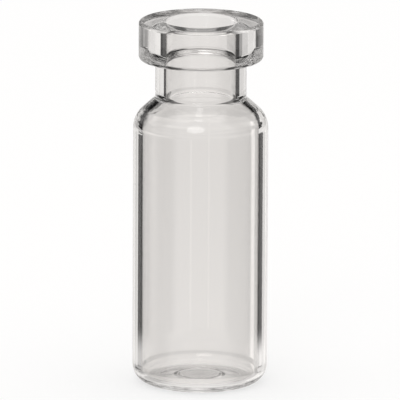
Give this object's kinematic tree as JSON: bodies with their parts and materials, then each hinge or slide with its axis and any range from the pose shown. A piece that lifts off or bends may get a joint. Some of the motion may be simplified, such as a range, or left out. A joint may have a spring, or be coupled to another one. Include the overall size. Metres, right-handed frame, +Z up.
{
  "type": "glass sample vial",
  "caption": "Clear glass sample vial: straight body on a flat foot, sloped shoulder, short neck and a flanged mouth that takes a crimped cap.",
  "frame": {"origin": "centre of the foot, on the surface that the vial stands on", "axes": "+Z up along the vial's axis, towards the mouth; the vial is round about Z, so X and Y are free"},
  "size_m": [0.0116, 0.0116, 0.032],
  "materials": {
    "clear_glass": "clear and polished, fire-smooth"
  },
  "bodies": {
    "root": {"vial": "clear_glass"}
  },
  "joints": []
}
